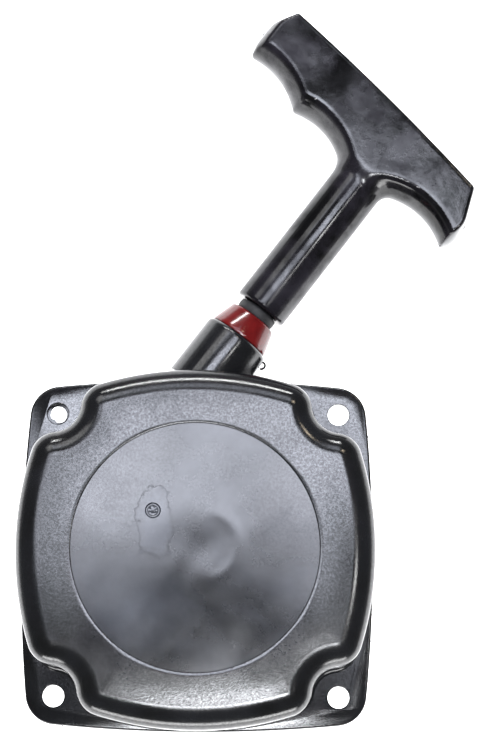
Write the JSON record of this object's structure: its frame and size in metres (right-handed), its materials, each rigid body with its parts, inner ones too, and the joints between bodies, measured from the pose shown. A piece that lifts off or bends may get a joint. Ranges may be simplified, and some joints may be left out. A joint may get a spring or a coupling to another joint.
{
  "type": "recoil starter",
  "caption": "Pull starter for a small engine: square domed black cover with corner bolt holes, rope reel, spring and ratchets inside, and a T handle on a rope through a red guide ring.",
  "frame": {"origin": "centre of the four mounting holes on the cover's flat mounting face, which is also on the reel's axis", "axes": "+Z out of the cover's domed front along the reel's axis; +Y towards the side with the rope neck; +X to the right as seen from the front"},
  "size_m": [0.1475, 0.2328, 0.0351],
  "materials": {
    "nylon": "satin black glass-filled nylon",
    "handle_nylon": "semi-gloss black nylon",
    "red_plastic": "glossy deep red",
    "bumper_rubber": "matte black",
    "reel_nylon": "black moulded nylon",
    "steel": "stamped and zinc-plated steel",
    "spring_steel": "blued spring steel strip",
    "ratchet_steel": "hardened stamped steel",
    "brass": "turned brass",
    "rope": "braided polyester cord"
  },
  "bodies": {
    "cover": {"housing": "nylon", "rope_guide_ring": "red_plastic", "spring_case": "reel_nylon", "recoil_spring": "spring_steel", "post_insert": "brass", "thrust_washer": "steel", "guide_sleeve": "steel", "screw_washer": "steel", "retaining_screw": "steel"},
    "reel": {"reel": "reel_nylon", "reel_bush": "brass", "rope_coil": "rope", "rope_reel_knot": "rope", "ratchet_pins": "steel"},
    "guide": {"ratchet_guide": "steel", "friction_spring": "spring_steel"},
    "ratchet_1": {"ratchet_1": "ratchet_steel"},
    "ratchet_2": {"ratchet_2": "ratchet_steel"},
    "rope_end": {"rope_run": "rope", "rope_handle_knot": "rope"},
    "handle": {"handle": "handle_nylon", "handle_bumper": "bumper_rubber"}
  },
  "joints": [
    {"name": "handle_pull", "type": "slide", "parent": "cover", "child": "rope_end", "axis": [0.6046, 0.7965, 0], "range_m": [0, 0.7], "stiffness_N_per_m": 20, "springref_m": -0.5, "deforming": ["rope_run"]},
    {"name": "handle_swivel", "type": "hinge", "parent": "rope_end", "child": "handle", "pos_m": [-0.02517, 0.01911, 0.0167], "axis": [0.6046, 0.7965, 0], "range_deg": [-180, 180]},
    {"name": "reel_spin", "type": "hinge", "parent": "cover", "child": "reel", "pos_m": [0, 0, 0], "axis": [0, 0, -1], "range_deg": [0, 1440], "deforming": ["recoil_spring"]},
    {"name": "guide_turn", "type": "hinge", "parent": "reel", "child": "guide", "pos_m": [0, 0, 0], "axis": [0, 0, 1], "range_deg": [0, 30]},
    {"name": "ratchet_1_swing", "type": "hinge", "parent": "reel", "child": "ratchet_1", "pos_m": [0.015, 0, 0], "axis": [0, 0, 1], "range_deg": [0, 32]},
    {"name": "ratchet_2_swing", "type": "hinge", "parent": "reel", "child": "ratchet_2", "pos_m": [-0.015, 0, 0], "axis": [0, 0, 1], "range_deg": [0, 32]}
  ],
  "couplings": [
    {"joint": "reel_spin", "follows": "handle_pull", "rad_per_m": 33.501},
    {"joint": "ratchet_1_swing", "follows": "guide_turn", "ratio": 1.0667},
    {"joint": "ratchet_2_swing", "follows": "guide_turn", "ratio": 1.0667}
  ]
}
